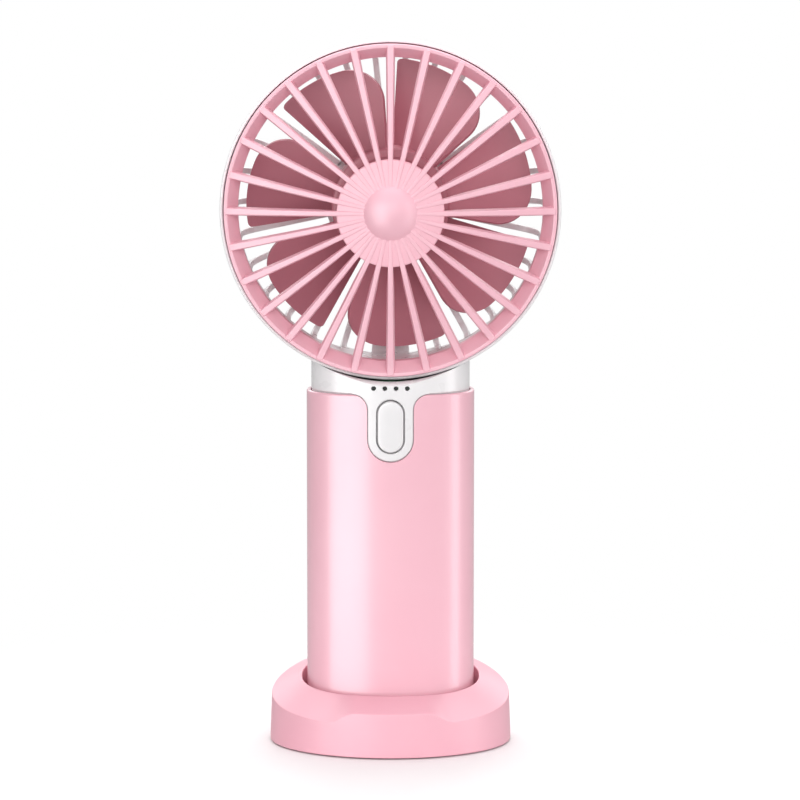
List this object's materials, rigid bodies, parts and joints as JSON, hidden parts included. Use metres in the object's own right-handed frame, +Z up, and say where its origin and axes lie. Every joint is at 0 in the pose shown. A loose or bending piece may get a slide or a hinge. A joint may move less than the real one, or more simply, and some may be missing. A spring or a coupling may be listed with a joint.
{
  "type": "handheld electric fan",
  "caption": "Round-head handheld fan with a domed radial grille and push button, standing upright in an oval desk dock.",
  "frame": {"origin": "middle of the dock's underside, on the surface that the dock stands on", "axes": "+Z up, the fan blows towards -Y, +X is to the right as a person looks at the front"},
  "size_m": [0.1006, 0.059, 0.2113],
  "materials": {
    "pink_shell": "satin",
    "pink_sleeve": "satin",
    "pink_plate": "matt",
    "pad": "matt",
    "screw_steel": "satin",
    "white_shell": "semi-gloss",
    "white_button": "semi-gloss",
    "rose_impeller": "satin",
    "motor_steel": "satin",
    "magnet": "matt",
    "bearing_bronze": "satin",
    "copper": "enamelled",
    "board": "semi-gloss",
    "lead_white": "satin",
    "lead_red": "satin",
    "cell_wrap": "gloss",
    "tab_nickel": "satin",
    "socket_steel": "polished",
    "switch_black": "matt",
    "light_pipe": "smoked",
    "led": "gloss"
  },
  "bodies": {
    "dock": {"dock_shell": "pink_shell", "dock_base_plate": "pink_plate", "dock_pad": "pad", "dock_screw_1": "screw_steel", "dock_screw_2": "screw_steel", "dock_screw_3": "screw_steel", "dock_screw_4": "screw_steel"},
    "fan_body": {"rear_housing": "white_shell", "front_housing": "white_shell", "front_grille": "pink_shell", "handle_sleeve": "pink_sleeve", "bottom_cap": "pink_shell", "bearing_front": "bearing_bronze", "bearing_rear": "bearing_bronze", "stator_core": "motor_steel", "stator_coil_1": "copper", "stator_coil_2": "copper", "stator_coil_3": "copper", "stator_coil_4": "copper", "stator_coil_5": "copper", "stator_coil_6": "copper", "motor_board": "board", "battery_cell": "cell_wrap", "battery_tab_top": "tab_nickel", "battery_tab_bottom": "tab_nickel", "charge_board": "board", "usb_socket": "socket_steel", "control_board": "board", "switch_body": "switch_black", "light_pipe": "light_pipe", "indicator_led_1": "led", "indicator_led_2": "led", "indicator_led_3": "led", "indicator_led_4": "led", "motor_lead": "lead_white", "battery_lead": "lead_red", "body_screw_lower_left": "screw_steel", "body_screw_lower_right": "screw_steel", "body_screw_upper_left": "screw_steel", "body_screw_upper_right": "screw_steel"},
    "rotor": {"impeller": "rose_impeller", "rotor_cup": "motor_steel", "magnet_ring": "magnet", "motor_shaft": "motor_steel"},
    "button": {"power_button": "white_button", "switch_plunger": "switch_black"}
  },
  "joints": [
    {"name": "fan_lift", "type": "slide", "parent": "dock", "child": "fan_body", "axis": [0, 0, 1], "range_m": [0, 0.06]},
    {"name": "rotor_spin", "type": "hinge", "parent": "fan_body", "child": "rotor", "pos_m": [0, 0.008, 0.161], "axis": [0, 1, 0], "continuous": true},
    {"name": "button_press", "type": "slide", "parent": "fan_body", "child": "button", "axis": [0, 1, 0], "range_m": [0, 0.0008], "stiffness_N_per_m": 1500, "springref_m": -0.0002}
  ]
}
